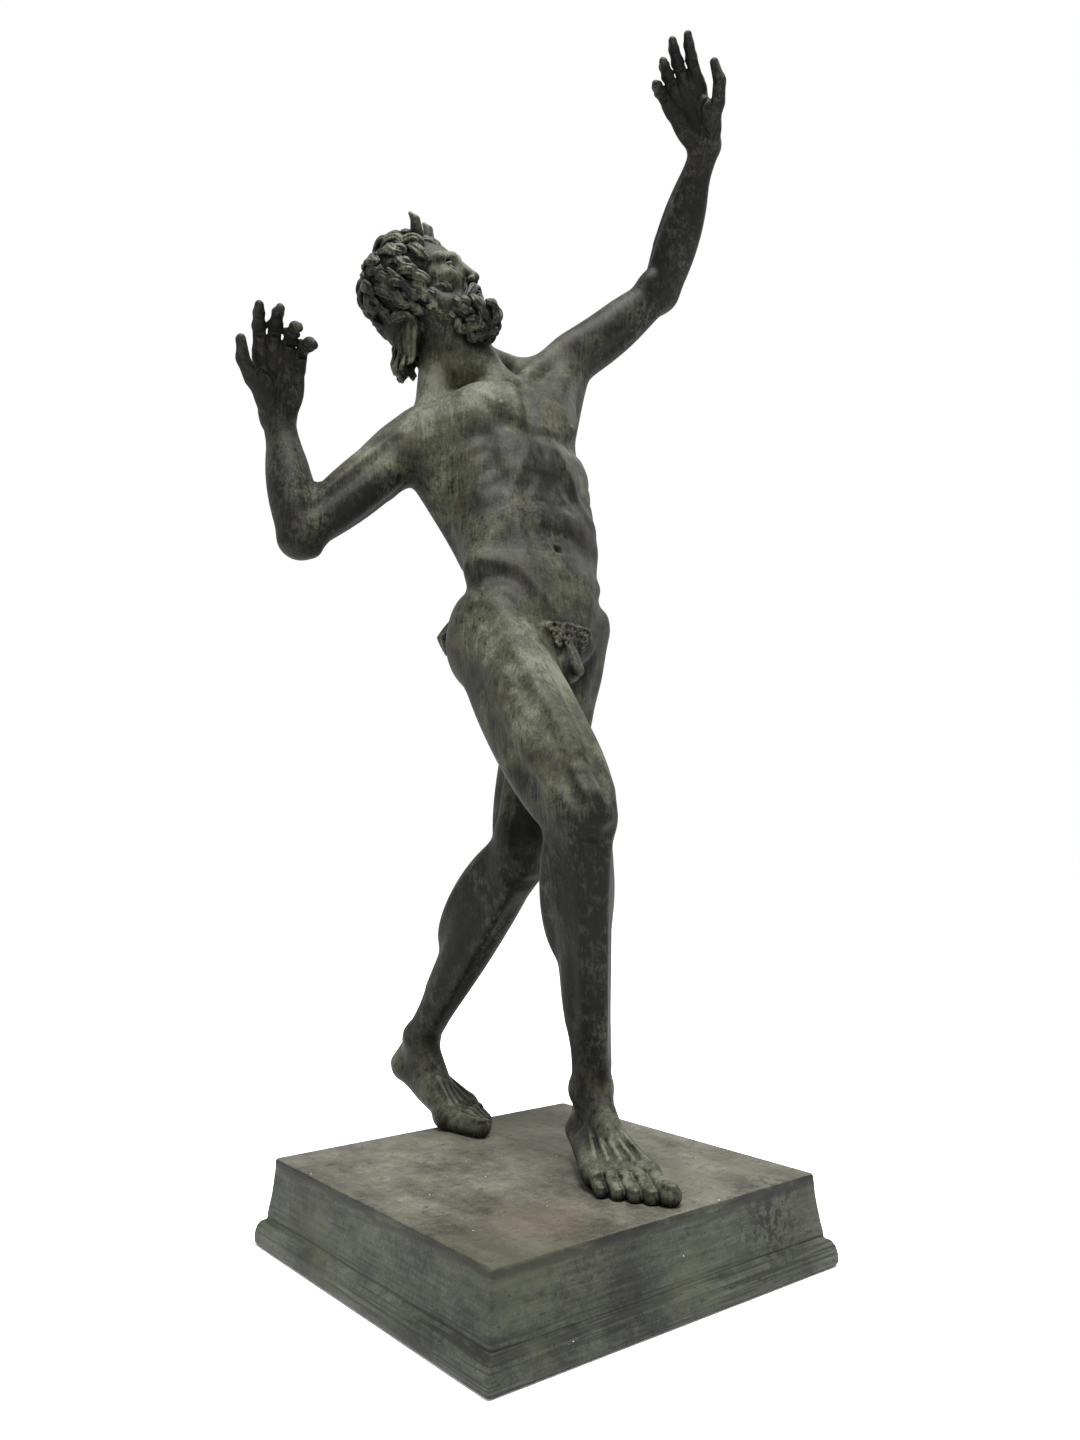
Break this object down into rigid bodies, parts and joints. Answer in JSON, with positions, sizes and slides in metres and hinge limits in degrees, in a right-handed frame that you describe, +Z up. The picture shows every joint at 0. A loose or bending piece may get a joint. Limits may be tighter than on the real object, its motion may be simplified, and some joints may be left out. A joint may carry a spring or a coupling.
{
  "type": "bronze faun statue",
  "caption": "Patinated bronze statue of a nude dancing faun, one arm raised, bearded, with curls, small horns and a short tail, on a square moulded plinth.",
  "frame": {"origin": "centre of the plinth's underside, where the statue stands", "axes": "+Z up; the faun steps towards -Y and its raised left arm is towards +X, with the plinth's sides along X and Y"},
  "size_m": [0.3367, 0.2978, 0.8089],
  "materials": {
    "figure_bronze": "dark olive-green and brown patinated bronze, satin, brushed in places, paler on raised forms",
    "plinth_bronze": "grey-green and olive-brown patinated bronze, satin, brushed along its faces, dark stains and pinholes"
  },
  "bodies": {
    "root": {"faun": "figure_bronze", "plinth": "plinth_bronze"}
  },
  "joints": []
}
